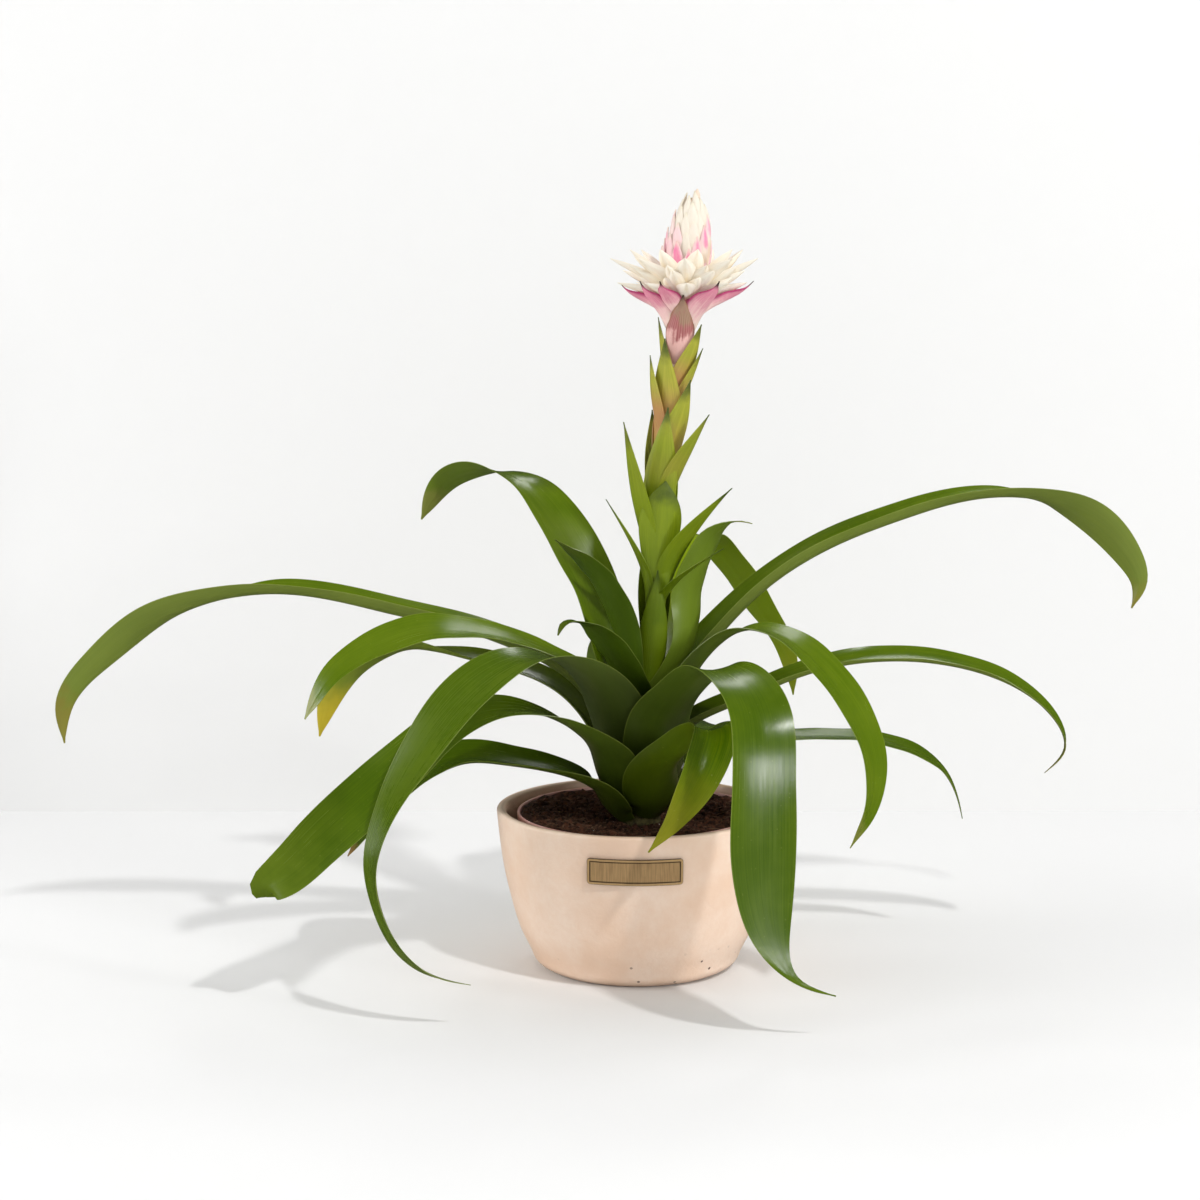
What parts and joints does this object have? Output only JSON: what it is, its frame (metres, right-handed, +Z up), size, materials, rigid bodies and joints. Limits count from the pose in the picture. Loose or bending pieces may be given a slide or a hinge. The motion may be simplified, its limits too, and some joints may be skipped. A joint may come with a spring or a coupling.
{
  "type": "potted guzmania",
  "caption": "Bromeliad in bloom: arching strap leaves and an upright scape with a cream and pink flower head, in a round ceramic planter.",
  "frame": {"origin": "centre of the planter's flat foot, on the surface it stands on", "axes": "+Z up, -Y towards the front with the plate, +X to the right as seen from the front, along the widest spread of the leaves"},
  "size_m": [0.6587, 0.413, 0.462],
  "materials": {
    "planter": "matt blush beige, faintly mottled",
    "plate": "brushed, antique",
    "nursery_pot": "satin pink",
    "soil": "dark fibrous peat",
    "crown": "dull",
    "flower_stalk": "soft gloss, yellow-green",
    "head_bracts": "satin pink",
    "flower_head": "satin cream and pink",
    "leaf": "soft gloss, deep green"
  },
  "bodies": {
    "root": {"planter": "planter", "plate": "plate", "nursery_pot": "nursery_pot", "soil": "soil", "crown": "crown", "flower_stalk": "flower_stalk", "head_bracts": "head_bracts", "flower_head": "flower_head", "leaf_01": "leaf", "leaf_02": "leaf", "leaf_03": "leaf", "leaf_04": "leaf", "leaf_05": "leaf", "leaf_06": "leaf", "leaf_07": "leaf", "leaf_08": "leaf", "leaf_09": "leaf", "leaf_10": "leaf", "leaf_11": "leaf", "leaf_12": "leaf", "leaf_13": "leaf", "leaf_14": "leaf", "leaf_15": "leaf", "leaf_16": "leaf", "leaf_17": "leaf", "leaf_18": "leaf", "leaf_19": "leaf", "leaf_20": "leaf"}
  },
  "joints": []
}
